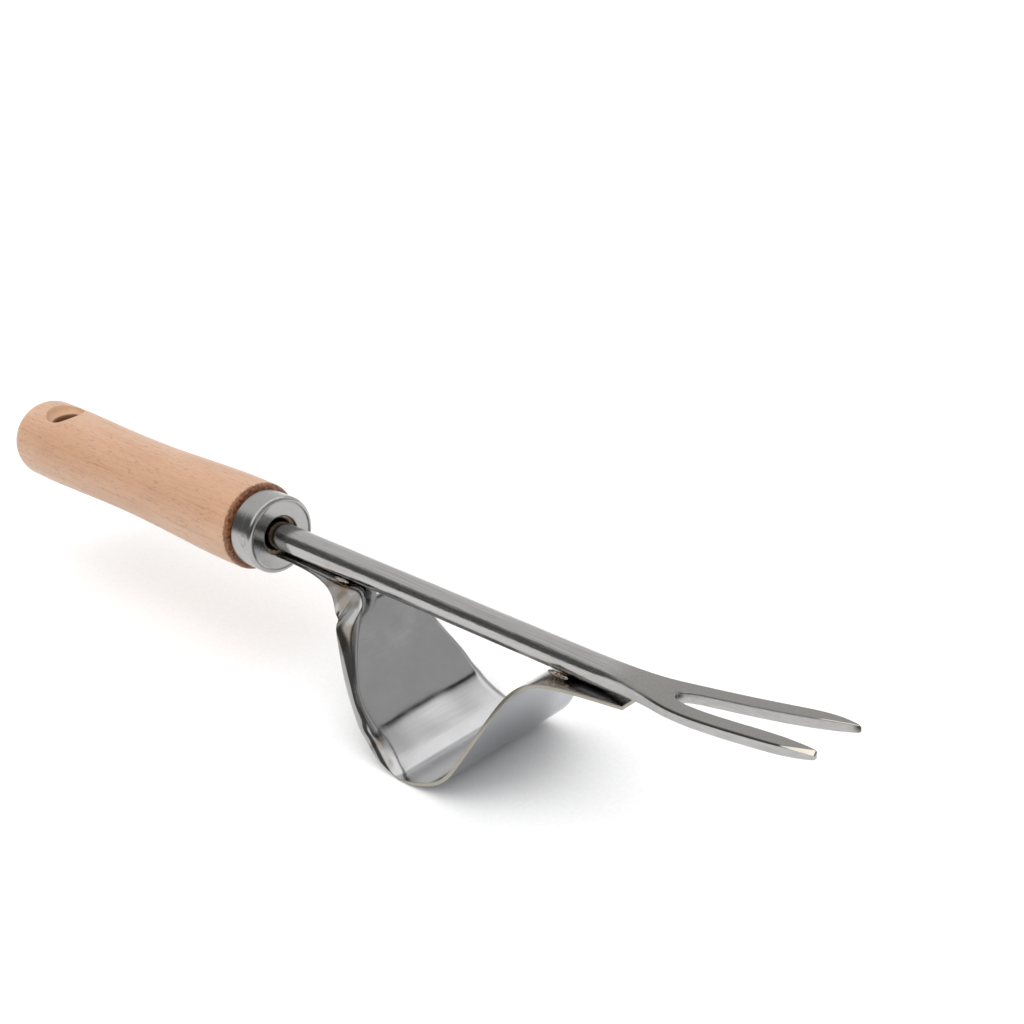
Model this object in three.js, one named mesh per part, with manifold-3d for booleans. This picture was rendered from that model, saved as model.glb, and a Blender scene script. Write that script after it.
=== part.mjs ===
// Hand weeder: a turned wooden handle with a capped ferrule, a forged rod ending in a two-tine fork,
// and a bent sheet fulcrum plate under the rod.
// Millimetres, +Z up. X runs along the rod towards the fork, with x = 0 at the ferrule's front face
// while the pieces are made. The finished tool stands with its lowest point at z = 0.
import * as THREE from "three";
import { mergeVertices } from "three/addons/utils/BufferGeometryUtils.js";
import Module from "manifold-3d";

// Rod, tang and fork
const ROD_RADIUS = 3.85;
const TANG_RADIUS = 3.2;
const TANG_LENGTH = 62;
const TANG_TAPER = 8;
const RESIN_FRONT = 6.5;
const RESIN_BACK = 40;
const FORK_SLOT_START = 146.5;
const FORK_TIP = 194.2;
const NEAR_TINE_END = 192.3;
const FAR_TINE_END = 193.7;
const TIP_GRIND_START = 186;
const TIP_GRIND_DEPTH = 0.6;
const TIP_GRIND_TURN = 0.75;
const RING_POINTS = 24;

// Handle
const HANDLE_BUTT = -123.7;
const HANDLE_SHOULDER = -9.4;
const BUTT_ROUNDING = 8;
const SPIGOT_RADIUS = 9.8;
const SPIGOT_FRONT = -1.9;
const BORE_RADIUS = 4.6;
const BORE_DEPTH = 64;
const HOLE_PLACE = -105.2;
const HOLE_RADIUS = 4;
const HOLE_MOUTH_RADIUS = 6.2;
const HOLE_MOUTH_DEPTH = 3.4;
const HOLE_REACH = 16;
const HOLE_SEGMENTS = 28;
const TURNED_SEGMENTS = 36;

// Ferrule
const FERRULE_RADIUS = 11;
const FERRULE_LENGTH = 8.4;
const FERRULE_WALL = 0.9;
const FERRULE_EDGE = 1.3;
const FERRULE_DISH = 0.25;
const FERRULE_HOLE = 5.5;
const DIMPLE_RADIUS = 1.4;
const DIMPLE_DEPTH = 0.45;
const DIMPLE_PLACE = -2.9;

// Fulcrum plate and its welds
const PLATE_THICKNESS = 1;
const FIT_GAP = 0.3;
const PLATE_STEPS = 76;
const FOLD_WIDTH = 2;
const FACE_COLUMNS = 3;
const FOLD_COLUMNS = 3;
const WING_COLUMNS = 3;
const CROWN_PLACE = 66;
const CROWN_FLAT_DEPTH = 0.06;
const REAR_WELD = { x: 29, across: 3, height: -3.45, radius: 0.55, length: 6 };
const FRONT_WELD = { x: 111, across: 3.45, height: -3.3, radius: 0.75, length: 7 };

const TAB_HEIGHT = -(ROD_RADIUS + FIT_GAP + PLATE_THICKNESS / 2);

// Control stations of the plate's middle surface, from the ferrule to the fork: the centre line's place,
// half the width of the flat face, the width of the wing folded back along each side, and the angles
// from the face at which the wing starts and at which it ends.
const PLATE_STATIONS = [
  { x: 0.4, z: TAB_HEIGHT, face: 0.6, wing: 0.5, foldAngle: 0.2, edgeAngle: 1.1 },
  { x: 13, z: TAB_HEIGHT, face: 0.6, wing: 0.5, foldAngle: 0.2, edgeAngle: 0.95 },
  { x: 23.6, z: TAB_HEIGHT, face: 1.2, wing: 1.4, foldAngle: 0.25, edgeAngle: 0.75 },
  { x: 30.9, z: TAB_HEIGHT, face: 1.2, wing: 4.9, foldAngle: 0.3, edgeAngle: 0.5 },
  { x: 34.3, z: -4.8, face: 0.6, wing: 8.8, foldAngle: 0.4, edgeAngle: 0.6 },
  { x: 36.8, z: -5.5, face: 0.8, wing: 8.4, foldAngle: 0.4, edgeAngle: 0.9 },
  { x: 40.3, z: -8, face: 6.6, wing: 5.9, foldAngle: 0.4, edgeAngle: 1.3 },
  { x: 43, z: -15.1, face: 11.4, wing: 3.5, foldAngle: 0.65, edgeAngle: 1.75 },
  { x: 46.1, z: -23.7, face: 15.6, wing: 2.8, foldAngle: 1.5, edgeAngle: 2.05 },
  { x: 49.4, z: -28.5, face: 17.3, wing: 2.4, foldAngle: 1.5, edgeAngle: 2.1 },
  { x: 52, z: -31.5, face: 17.1, wing: 2.9, foldAngle: 1, edgeAngle: 1.95 },
  { x: 53.7, z: -33.4, face: 17, wing: 2.2, foldAngle: 0.45, edgeAngle: 1.85 },
  { x: 55.7, z: -34.9, face: 16.4, wing: 3.5, foldAngle: 0.4, edgeAngle: 1.6 },
  { x: 60.1, z: -38.1, face: 16.9, wing: 3.1, foldAngle: 0.3, edgeAngle: 1.25 },
  { x: 63.7, z: -40.7, face: 18.8, wing: 0.5, foldAngle: 0.4, edgeAngle: 0.85 },
  { x: 67.1, z: -42.1, face: 18.4, wing: 1.5, foldAngle: 0, edgeAngle: 0 },
  { x: 81.7, z: -37.9, face: 17.7, wing: 1.5, foldAngle: 0, edgeAngle: 0 },
  { x: 88.2, z: -30, face: 17.3, wing: 1.5, foldAngle: 0, edgeAngle: 0 },
  { x: 98, z: -15.5, face: 13.9, wing: 1.5, foldAngle: 0, edgeAngle: 0 },
  { x: 103.1, z: -4.9, face: 6.5, wing: 1.5, foldAngle: 0, edgeAngle: 0 },
  { x: 113.7, z: TAB_HEIGHT, face: 3.1, wing: 1.5, foldAngle: 0, edgeAngle: 0 },
  { x: 132.3, z: TAB_HEIGHT, face: 0.5, wing: 1.5, foldAngle: 0, edgeAngle: 0 },
];

// Stations of the forged bar from the paddle to the tips: height of the middle, half width, half height
// and the radius of the section's corners. Equal values make the round rod.
const BAR_STATIONS = [
  { x: 118, z: 0, halfWidth: 3.85, halfHeight: 3.85, corner: 3.85 },
  { x: 124, z: 0.05, halfWidth: 3.8, halfHeight: 3.75, corner: 3.6 },
  { x: 132, z: 0.4, halfWidth: 3.5, halfHeight: 2.7, corner: 1.6 },
  { x: 140, z: 0.8, halfWidth: 4.6, halfHeight: 1.7, corner: 0.6 },
  { x: 146, z: 1.0, halfWidth: 5.9, halfHeight: 1.55, corner: 0.45 },
  { x: 153, z: 1.6, halfWidth: 6.8, halfHeight: 1.5, corner: 0.4 },
  { x: 162, z: 2.7, halfWidth: 7.4, halfHeight: 1.5, corner: 0.4 },
  { x: 173, z: 4.4, halfWidth: 7.9, halfHeight: 1.5, corner: 0.4 },
  { x: 182, z: 5.9, halfWidth: 8.4, halfHeight: 1.45, corner: 0.4 },
  { x: 189, z: 7.0, halfWidth: 7.9, halfHeight: 1.35, corner: 0.4 },
  { x: FORK_TIP, z: 7.85, halfWidth: 6.9, halfHeight: 1, corner: 0.4 },
];

const wasm = await Module();
wasm.setup();

// Clamped cubic B-spline over a list of stations; every number a station holds is blended alike.
function blendStations(stations, along) {
  const first = stations[0];
  const last = stations.at(-1);
  const padded = [first, first, ...stations, last, last];
  const place = along * (padded.length - 3);
  const start = Math.min(Math.floor(place), padded.length - 4);
  const u = place - start;
  const weights = [
    (1 - u) ** 3 / 6,
    (3 * u ** 3 - 6 * u ** 2 + 4) / 6,
    (-3 * u ** 3 + 3 * u ** 2 + 3 * u + 1) / 6,
    u ** 3 / 6,
  ];
  const blended = {};
  for (const key of Object.keys(first)) {
    blended[key] = weights.reduce((sum, weight, i) => sum + weight * padded[start + i][key], 0);
  }
  return blended;
}

function geometryFrom(points, triangles) {
  const geometry = new THREE.BufferGeometry().setFromPoints(points);
  geometry.setIndex(triangles);
  return geometry;
}

function quad(triangles, a, b, c, d) {
  triangles.push(a, b, c, a, c, d);
}

// Triangles of the wall that joins each ring of points to the next one.
function ringWall(rings) {
  const count = rings[0].length;
  const triangles = [];
  for (let i = 0; i < rings.length - 1; i += 1) {
    const here = i * count;
    for (let j = 0; j < count; j += 1) {
      const next = (j + 1) % count;
      quad(triangles, here + j, here + next, here + count + next, here + count + j);
    }
  }
  return triangles;
}

// Solid between equal rings of points, with flat ends fanned from each ring's middle.
function loft(rings) {
  const count = rings[0].length;
  const points = rings.flat();
  const triangles = ringWall(rings);
  for (const [ring, base, flip] of [
    [rings[0], 0, true],
    [rings.at(-1), (rings.length - 1) * count, false],
  ]) {
    const middle = ring.reduce((sum, p) => sum.add(p), new THREE.Vector3()).divideScalar(count);
    const centre = points.push(middle) - 1;
    for (let j = 0; j < count; j += 1) {
      const next = (j + 1) % count;
      triangles.push(centre, base + (flip ? next : j), base + (flip ? j : next));
    }
  }
  return geometryFrom(points, triangles);
}

function toManifold(geometry) {
  const bare = geometry.clone();
  bare.deleteAttribute("normal");
  bare.deleteAttribute("uv");
  const merged = mergeVertices(bare, 1e-4);
  return new wasm.Manifold(
    new wasm.Mesh({
      numProp: 3,
      vertProperties: merged.attributes.position.array,
      triVerts: new Uint32Array(merged.index.array),
    }),
  );
}

function fromManifold(solid) {
  const mesh = solid.getMesh();
  const geometry = new THREE.BufferGeometry();
  geometry.setAttribute("position", new THREE.BufferAttribute(mesh.vertProperties, 3));
  geometry.setIndex(new THREE.BufferAttribute(mesh.triVerts, 1));
  return geometry;
}

// A body turned about the X axis from [x, radius] points that start and end on the axis.
function turned(outline, segments = TURNED_SEGMENTS) {
  const profile = outline.map(([x, radius]) => new THREE.Vector2(radius, x));
  return new THREE.LatheGeometry(profile, segments).rotateZ(-Math.PI / 2);
}

// Points of a quarter-round between two directions, as [x, radius] pairs.
function arc(x, radius, size, from, to, steps) {
  return Array.from({ length: steps + 1 }, (_, i) => {
    const angle = from + ((to - from) * i) / steps;
    return [x + size * Math.cos(angle), radius + size * Math.sin(angle)];
  });
}

function named(name, geometry, { color, roughness, metalness }) {
  const material = new THREE.MeshStandardMaterial({ color, roughness, metalness });
  const mesh = new THREE.Mesh(geometry, material);
  mesh.name = name;
  return mesh;
}

// Barrel radius behind the shoulder: full at the front, waisted under the palm, full at the butt.
const BARREL = [
  { x: -116.5, radius: 11.9 },
  { x: -106, radius: 12.1 },
  { x: -90, radius: 11.7 },
  { x: -72, radius: 11.3 },
  { x: -54, radius: 11.5 },
  { x: -38, radius: 12.1 },
  { x: -22, radius: 12.6 },
  { x: -11.5, radius: 12.45 },
];

function handleGeometry() {
  const start = BARREL[0];
  const butt = Array.from({ length: 7 }, (_, i) => {
    const angle = (i * Math.PI) / 12;
    const reach = start.x - HANDLE_BUTT;
    return [start.x - reach * Math.cos(angle), start.radius - BUTT_ROUNDING * (1 - Math.sin(angle))];
  });
  const barrel = Array.from({ length: 17 }, (_, i) => {
    const station = blendStations(BARREL, (i + 1) / 18);
    return [station.x, station.radius];
  });
  const outline = [
    [HANDLE_BUTT, 0],
    ...butt,
    ...barrel,
    ...arc(HANDLE_SHOULDER - 1.2, 11.2, 1.2, Math.PI / 2, 0, 3),
    [HANDLE_SHOULDER, SPIGOT_RADIUS],
    [SPIGOT_FRONT, SPIGOT_RADIUS],
    [SPIGOT_FRONT, BORE_RADIUS],
    [-BORE_DEPTH, BORE_RADIUS],
    [-BORE_DEPTH - 2, 0],
  ];
  // Dished mouth on each side of the handle, running down into a straight bore.
  const dish = [
    [HOLE_RADIUS, start.radius - HOLE_MOUTH_DEPTH],
    [HOLE_RADIUS + 0.9, start.radius - HOLE_MOUTH_DEPTH + 0.9],
    [HOLE_MOUTH_RADIUS - 0.5, start.radius - 1.5],
    [HOLE_MOUTH_RADIUS, start.radius],
    [HOLE_MOUTH_RADIUS + 0.8, HOLE_REACH],
    [0, HOLE_REACH],
  ];
  const cutter = [...dish.toReversed().map(([radius, height]) => [radius, -height]), ...dish];
  const hole = new THREE.LatheGeometry(
    cutter.map(([radius, height]) => new THREE.Vector2(radius, height)),
    HOLE_SEGMENTS,
  );
  hole.rotateX(Math.PI / 2).translate(HOLE_PLACE, 0, 0);
  return fromManifold(toManifold(turned(outline)).subtract(toManifold(hole)));
}

function ferruleGeometry() {
  const inner = FERRULE_RADIUS - FERRULE_WALL;
  const outline = [
    [-FERRULE_LENGTH, inner],
    [-FERRULE_LENGTH, FERRULE_RADIUS - 0.3],
    [-FERRULE_LENGTH + 0.35, FERRULE_RADIUS],
    ...arc(-FERRULE_EDGE, FERRULE_RADIUS - FERRULE_EDGE, FERRULE_EDGE, Math.PI / 2, 0, 4),
    [-FERRULE_DISH, FERRULE_RADIUS - FERRULE_EDGE - 0.5],
    [-FERRULE_DISH, FERRULE_HOLE + 0.3],
    [-FERRULE_DISH - 0.2, FERRULE_HOLE],
    [-FERRULE_DISH - FERRULE_WALL, FERRULE_HOLE],
    [-FERRULE_DISH - FERRULE_WALL, inner - 0.6],
    [-FERRULE_DISH - FERRULE_WALL - 0.6, inner],
    [-FERRULE_LENGTH, inner],
  ];
  const cap = toManifold(turned(outline, 48));
  const dimples = [-1, 1].map((side) => {
    const punch = new THREE.SphereGeometry(DIMPLE_RADIUS, 14, 10);
    punch.scale(1, 1.15, 1).rotateX(side * 1.4);
    const depth = FERRULE_RADIUS + DIMPLE_RADIUS - DIMPLE_DEPTH;
    return toManifold(punch.translate(DIMPLE_PLACE, side * depth, 1.5));
  });
  return fromManifold(dimples.reduce((solid, dimple) => solid.subtract(dimple), cap));
}

// Rounded rectangle in the YZ plane at one place along the bar; a circle when all radii agree.
function barRing({ x, z, halfWidth, halfHeight, corner }) {
  const radius = Math.min(corner, halfWidth, halfHeight);
  return Array.from({ length: RING_POINTS }, (_, i) => {
    const quarter = Math.floor((4 * i) / RING_POINTS);
    const sideY = quarter === 0 || quarter === 3 ? 1 : -1;
    const sideZ = quarter < 2 ? 1 : -1;
    const step = (i * 4) / RING_POINTS - quarter;
    const angle = ((quarter + (step * RING_POINTS) / (RING_POINTS - 4)) * Math.PI) / 2;
    const y = sideY * (halfWidth - radius) + radius * Math.cos(angle);
    return new THREE.Vector3(x, y, z + sideZ * (halfHeight - radius) + radius * Math.sin(angle));
  });
}

function roundStation(x, radius) {
  return { x, z: 0, halfWidth: radius, halfHeight: radius, corner: radius };
}

// Upright prism with the given [x, y] outline, tall enough to cut right through the fork.
function planCutter(outline) {
  const height = 40;
  const shape = new THREE.Shape(outline.map(([x, y]) => new THREE.Vector2(x, y)));
  const prism = new THREE.ExtrudeGeometry(shape, { depth: height, bevelEnabled: false });
  return toManifold(prism.translate(0, 0, -height / 2));
}

// Block that grinds the outer top edge of a tine away, deeper towards its tip. Its lower face, turned
// between the tine's top and side, cuts in from the place where the grind starts.
function tipGrind(side) {
  const size = 8;
  const start = BAR_STATIONS.at(-2);
  const tip = BAR_STATIONS.at(-1);
  const reach = FORK_TIP - TIP_GRIND_START;
  const rise = (tip.z - start.z) / (tip.x - start.x);
  const slope = (0.8 * TIP_GRIND_DEPTH) / reach;
  const block = new THREE.BoxGeometry(4 * size, size, size);
  block.translate(2 * size, 0, size / 2);
  block.rotateX(-side * TIP_GRIND_TURN);
  block.rotateZ(-side * slope);
  block.rotateY(slope - rise);
  block.translate(TIP_GRIND_START, side * (start.halfWidth + 0.1), start.z + start.halfHeight - 0.35);
  return toManifold(block);
}

function forkRodGeometry() {
  const straight = [
    roundStation(-TANG_LENGTH, TANG_RADIUS * 0.4),
    roundStation(-TANG_LENGTH + TANG_TAPER, TANG_RADIUS),
    roundStation(-6, TANG_RADIUS),
    roundStation(-4, ROD_RADIUS),
  ];
  const blade = Array.from({ length: 29 }, (_, i) => blendStations(BAR_STATIONS, i / 28));
  const bar = toManifold(loft([...straight, ...blade].map(barRing)));
  const slotHalf = [
    [FORK_SLOT_START + 0.6, 1.1],
    [FORK_SLOT_START + 2.2, 1.9],
    [FORK_SLOT_START + 5, 2.5],
    [FORK_SLOT_START + 12, 3.15],
    [FORK_SLOT_START + 20, 3.6],
    [FORK_SLOT_START + 29, 4.1],
    [FORK_SLOT_START + 36, 4.7],
    [FORK_SLOT_START + 42, 5.5],
    [FORK_TIP + 1, 6.6],
  ];
  const slot = planCutter([
    [FORK_SLOT_START, 0],
    ...slotHalf.map(([x, y]) => [x, -y]),
    ...slotHalf.toReversed(),
  ]);
  const ends = planCutter([
    [NEAR_TINE_END - 0.6, -12],
    [FORK_TIP + 5, -12],
    [FORK_TIP + 5, 12],
    [FAR_TINE_END + 0.6, 12],
  ]);
  const cuts = [slot, ends, tipGrind(-1), tipGrind(1)];
  return fromManifold(cuts.reduce((solid, cut) => solid.subtract(cut), bar));
}

// Points from the middle of the plate's section out to one edge: how far across and how far down from
// the face each lies, and the angle of the sheet there.
function halfSection({ face, wing, foldAngle, edgeAngle }) {
  const parts = [
    { width: face, columns: FACE_COLUMNS, from: 0, to: 0 },
    { width: FOLD_WIDTH, columns: FOLD_COLUMNS, from: 0, to: foldAngle },
    { width: wing, columns: WING_COLUMNS, from: foldAngle, to: edgeAngle },
  ];
  const half = [{ across: 0, drop: 0, angle: 0 }];
  for (const { width, columns, from, to } of parts) {
    for (let i = 1; i <= columns; i += 1) {
      const last = half.at(-1);
      const middle = from + ((to - from) * (i - 0.5)) / columns;
      half.push({
        across: last.across + (width / columns) * Math.cos(middle),
        drop: last.drop + (width / columns) * Math.sin(middle),
        angle: from + ((to - from) * i) / columns,
      });
    }
  }
  return half;
}

// One cross-section of the plate: points on its under and upper faces, from the right edge to the left.
function plateSection(along) {
  const step = 1e-3;
  const here = blendStations(PLATE_STATIONS, along);
  const before = blendStations(PLATE_STATIONS, Math.max(0, along - step));
  const after = blendStations(PLATE_STATIONS, Math.min(1, along + step));
  const forward = new THREE.Vector3(after.x - before.x, 0, after.z - before.z).normalize();
  const half = halfSection(here);
  const mirrored = half.slice(1).map(({ across, drop, angle }) => ({
    across: -across,
    drop,
    angle: -angle,
  }));
  const row = [...mirrored.reverse(), ...half];
  const facePoint = ({ across, drop, angle }, offset) => {
    const lift = offset * Math.cos(angle) - drop;
    return new THREE.Vector3(
      here.x - lift * forward.z,
      across + offset * Math.sin(angle),
      here.z + lift * forward.x,
    );
  };
  return {
    outer: row.map((place) => facePoint(place, -PLATE_THICKNESS / 2)),
    inner: row.map((place) => facePoint(place, PLATE_THICKNESS / 2)),
  };
}

// The bent sheet, with the underside of its crown ground flat where it rests on the soil.
function fulcrumPlateGeometry() {
  const sections = Array.from({ length: PLATE_STEPS + 1 }, (_, i) => plateSection(i / PLATE_STEPS));
  const rings = sections.map(({ outer, inner }) => [...outer, ...inner.toReversed()]);
  const count = rings[0].length;
  const columns = count / 2;
  const points = rings.flat();
  const triangles = ringWall(rings);
  const lastRing = PLATE_STEPS * count;
  for (let j = 0; j < columns - 1; j += 1) {
    quad(triangles, j + 1, j, count - 1 - j, count - 2 - j);
    quad(triangles, lastRing + j, lastRing + j + 1, lastRing + count - 2 - j, lastRing + count - 1 - j);
  }
  const sheet = toManifold(geometryFrom(points, triangles));
  const crown = Math.min(...sections.map(({ outer }) => outer[(columns - 1) / 2].z));
  const ground = new THREE.BoxGeometry(60, 60, 10);
  ground.translate(CROWN_PLACE, 0, crown + CROWN_FLAT_DEPTH - 5);
  return fromManifold(sheet.subtract(toManifold(ground)));
}

function tangResinGeometry() {
  const inner = TANG_RADIUS + 0.05;
  const outer = BORE_RADIUS - 0.05;
  return turned(
    [
      [-RESIN_FRONT, inner],
      [-RESIN_BACK, inner],
      [-RESIN_BACK, outer],
      [-RESIN_FRONT, outer],
      [-RESIN_FRONT, inner],
    ],
    24,
  );
}

// Bead of weld metal in the groove between the rod and one edge of the plate.
function weldGeometry({ x, across, height, radius, length }, side) {
  const bead = new THREE.SphereGeometry(radius, 10, 7).rotateZ(Math.PI / 2);
  return bead.scale(length / (2 * radius), 1, 1).translate(x, side * across, height);
}

const beech = { color: 0xd3a884, roughness: 0.55, metalness: 0 };
const cappedSteel = { color: 0xb9b7b4, roughness: 0.32, metalness: 1 };
const forgedSteel = { color: 0xa6a4a1, roughness: 0.38, metalness: 1 };
const polishedSheet = { color: 0xc4c4c8, roughness: 0.14, metalness: 1 };
const resin = { color: 0x2a1c12, roughness: 0.5, metalness: 0 };
const weldMetal = { color: 0x8d8579, roughness: 0.5, metalness: 1 };

const tool = new THREE.Group();
tool.add(
  named("handle", handleGeometry(), beech),
  named("ferrule", ferruleGeometry(), cappedSteel),
  named("fork_rod", forkRodGeometry(), forgedSteel),
  named("fulcrum_plate", fulcrumPlateGeometry(), polishedSheet),
  named("tang_resin", tangResinGeometry(), resin),
  named("weld_rear_left", weldGeometry(REAR_WELD, 1), weldMetal),
  named("weld_rear_right", weldGeometry(REAR_WELD, -1), weldMetal),
  named("weld_front_left", weldGeometry(FRONT_WELD, 1), weldMetal),
  named("weld_front_right", weldGeometry(FRONT_WELD, -1), weldMetal),
);

tool.updateMatrixWorld(true);
const bounds = new THREE.Box3().setFromObject(tool);
const centre = bounds.getCenter(new THREE.Vector3());
tool.position.set(-centre.x, 0, -bounds.min.z);

export default tool;
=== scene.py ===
"""Looks for the hand weeder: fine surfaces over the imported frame, materials and the studio."""
import math

import bmesh
import bpy
import numpy as np
from mathutils import Matrix, Vector


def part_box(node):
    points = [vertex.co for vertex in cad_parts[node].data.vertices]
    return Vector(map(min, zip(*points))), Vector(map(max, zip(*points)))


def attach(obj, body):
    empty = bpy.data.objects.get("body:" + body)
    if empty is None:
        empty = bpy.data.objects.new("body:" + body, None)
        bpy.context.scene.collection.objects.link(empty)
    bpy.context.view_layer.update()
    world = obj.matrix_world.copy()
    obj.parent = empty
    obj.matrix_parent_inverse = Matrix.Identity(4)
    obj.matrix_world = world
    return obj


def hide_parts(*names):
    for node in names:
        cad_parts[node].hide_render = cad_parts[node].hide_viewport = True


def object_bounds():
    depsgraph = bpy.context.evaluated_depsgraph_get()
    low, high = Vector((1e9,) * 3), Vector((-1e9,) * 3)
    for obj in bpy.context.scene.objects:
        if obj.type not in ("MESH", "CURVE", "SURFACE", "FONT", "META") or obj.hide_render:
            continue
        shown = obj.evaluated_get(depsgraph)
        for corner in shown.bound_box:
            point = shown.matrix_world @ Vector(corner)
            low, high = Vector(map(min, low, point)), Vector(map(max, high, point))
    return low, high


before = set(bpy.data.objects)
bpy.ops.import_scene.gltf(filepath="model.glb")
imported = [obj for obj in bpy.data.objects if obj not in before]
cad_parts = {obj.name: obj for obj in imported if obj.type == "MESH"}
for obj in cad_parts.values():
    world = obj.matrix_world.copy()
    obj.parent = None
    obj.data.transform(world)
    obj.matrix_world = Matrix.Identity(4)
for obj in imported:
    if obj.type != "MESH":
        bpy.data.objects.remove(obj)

CAD_BOX = [list(corner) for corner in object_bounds()]

# Tool coordinates are millimetres, with x from the ferrule's front face and z from the rod's axis.
MM = 0.001
FERRULE_LOW, FERRULE_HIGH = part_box("ferrule")
FACE_X = FERRULE_HIGH.x
AXIS_Z = (FERRULE_LOW.z + FERRULE_HIGH.z) / 2
GROUND_Z = CAD_BOX[0][2]

# Rod and fork; sides are -1 for the side at negative y and 1 for the other
ROD_RADIUS = 3.85
ROD_START = -4
TANG_RADIUS = 3.2
TANG_START = -62
TANG_TAPER = 8
TANG_END = -6
BLADE_START = 118
CROTCH = 146.5
TINE_ENDS = {-1: 192.3, 1: 193.7}
TINE_END_ROUNDING = 0.8
TINE_END_NARROWING = 0.4
TINE_END_THINNING = 0.35
TIP_GRIND_START = 184
TIP_GRIND_DEPTH = {-1: 0.7, 1: 0.25}
TIP_GRIND_DIRECTION = np.array([0.72, 0.69])
TIP_GRIND_ALLOWANCE = 0.12
EDGE_ROUNDING = 0.3
SECTION_POINTS = 150
WALL_POINTS = 9

# Handle; the barrel is eased in a little so that it stays inside the CAD's box
BUTT = -123.7
BUTT_ROUNDING = 8
BARREL_EASE = 0.01
SHOULDER = -9.4
SHOULDER_ROUNDING = 1.2
SPIGOT_RADIUS = 9.8
SPIGOT_FRONT = -1.9
BORE_RADIUS = 4.6
BORE_END = -64
HOLE_X = -105.2
HOLE_RADIUS = 4.0
HOLE_MOUTH_RADIUS = 6.2
BARREL_AT_HOLE = 12

# Ferrule, with a round dimple pressed into each side of its tube
FERRULE_RADIUS = 11
FERRULE_REAR = -8.4
FERRULE_WALL = 0.9
FERRULE_HOLE = 5.5
FERRULE_FLAT = -0.25
FERRULE_RIM = 1.3
DIMPLE_X = -2.9
DIMPLE_ANGLE = 1.43
DIMPLE_RADIUS = 1.25
DIMPLE_STRETCH = 1.15
DIMPLE_DEPTH = 0.26
DIMPLE_LIP = 0.03

# Adhesive round the tang
RESIN_REAR = -40
RESIN_FRONT = -6.6
RESIN_GAP = 0.05
RESIN_RIPPLE = 0.25

# Fulcrum plate
SHEET = 1.0
TAB_Z = -(ROD_RADIUS + 0.3 + SHEET / 2)
CUT_ROUNDING = 0.14
PLATE_ROWS = 380

# Control points along the sheet: x, z, half width of the flat face, width of the wing folded back
# along each side, and the angles from the face at which the wing starts and ends
PLATE_STATIONS = [
    (0.4, TAB_Z, 0.6, 0.5, 0.2, 1.1),
    (13, TAB_Z, 0.6, 0.5, 0.2, 0.95),
    (23.6, TAB_Z, 1.2, 1.4, 0.25, 0.75),
    (30.9, TAB_Z, 1.2, 4.9, 0.3, 0.5),
    (34.3, -4.8, 0.6, 8.8, 0.4, 0.6),
    (36.8, -5.5, 0.8, 8.4, 0.4, 0.9),
    (40.3, -8, 6.6, 5.9, 0.4, 1.3),
    (43, -15.1, 11.4, 3.5, 0.65, 1.75),
    (46.1, -23.7, 15.6, 2.8, 1.5, 2.05),
    (49.4, -28.5, 17.3, 2.4, 1.5, 2.1),
    (52, -31.5, 17.1, 2.9, 1, 1.95),
    (53.7, -33.4, 17, 2.2, 0.45, 1.85),
    (55.7, -34.9, 16.4, 3.5, 0.4, 1.6),
    (60.1, -38.1, 16.9, 3.1, 0.3, 1.25),
    (63.7, -40.7, 18.8, 0.5, 0.4, 0.85),
    (67.1, -42.1, 18.4, 1.5, 0, 0),
    (81.7, -37.9, 17.7, 1.5, 0, 0),
    (88.2, -30, 17.3, 1.5, 0, 0),
    (98, -15.5, 13.9, 1.5, 0, 0),
    (103.1, -4.9, 6.5, 1.5, 0, 0),
    (113.7, TAB_Z, 3.1, 1.5, 0, 0),
    (132.3, TAB_Z, 0.5, 1.5, 0, 0),
]
FOLD_WIDTH = 2

# Control points along the bar: x, height of the middle, half width, half height, corner radius
BAR_STATIONS = [
    (118, 0, 3.85, 3.85, 3.85),
    (124, 0.05, 3.8, 3.75, 3.6),
    (132, 0.4, 3.5, 2.7, 1.6),
    (140, 0.8, 4.6, 1.7, 0.9),
    (146, 1.0, 5.9, 1.55, 0.8),
    (153, 1.6, 6.8, 1.5, 0.8),
    (162, 2.7, 7.4, 1.5, 0.75),
    (173, 4.4, 7.9, 1.5, 0.7),
    (182, 5.9, 8.4, 1.45, 0.6),
    (189, 7.0, 7.9, 1.35, 0.5),
    (194.2, 7.85, 6.9, 1.0, 0.4),
]

# x from the crotch, half gap of the slot
SLOT = [(0, 0), (0.25, 0.7), (0.6, 1.1), (1.2, 1.5), (2.2, 1.9), (5, 2.5), (12, 3.15), (20, 3.6),
        (29, 4.1), (36, 4.7), (42, 5.5), (48.7, 6.6)]

# Control points along the handle's barrel: x, radius
BARREL = [(-116.5, 11.9), (-106, 12.1), (-90, 11.7), (-72, 11.3), (-54, 11.5), (-38, 12.1),
          (-22, 12.6), (-11.5, 12.45)]

# Weld beads: x, distance either side, height, radius, length
WELDS = {
    "weld_rear": (29, 3, -3.45, 0.55, 6),
    "weld_front": (111, 3.45, -3.3, 0.75, 7),
}

# Camera: place in tool coordinates, turn, tilt and roll in degrees, lens and sensor in millimetres
CAMERA_PLACE = (434.0, -288.4, 251.9)
CAMERA_AZIMUTH = 49.4
CAMERA_ELEVATION = 26.1
CAMERA_ROLL = -7
CAMERA_LENS = 73.8
CAMERA_SENSOR = 36

# Radius of the small ring that closes a turned shape at its axis
AXIS_RADIUS = 0.01

# Edges that turn by more than this many degrees stay sharp
SHARP_ANGLE = 38

# Floor, in metres: half its width, and its gap under the tool
FLOOR_REACH = 8.0
FLOOR_GAP = 0.0002


# ---------------------------------------------------------------- shapes

def to_frame(points):
    """Points in tool coordinates, moved to the row frame in metres."""
    return np.asarray(points, float) * MM + (FACE_X, 0, AXIS_Z)


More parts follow.
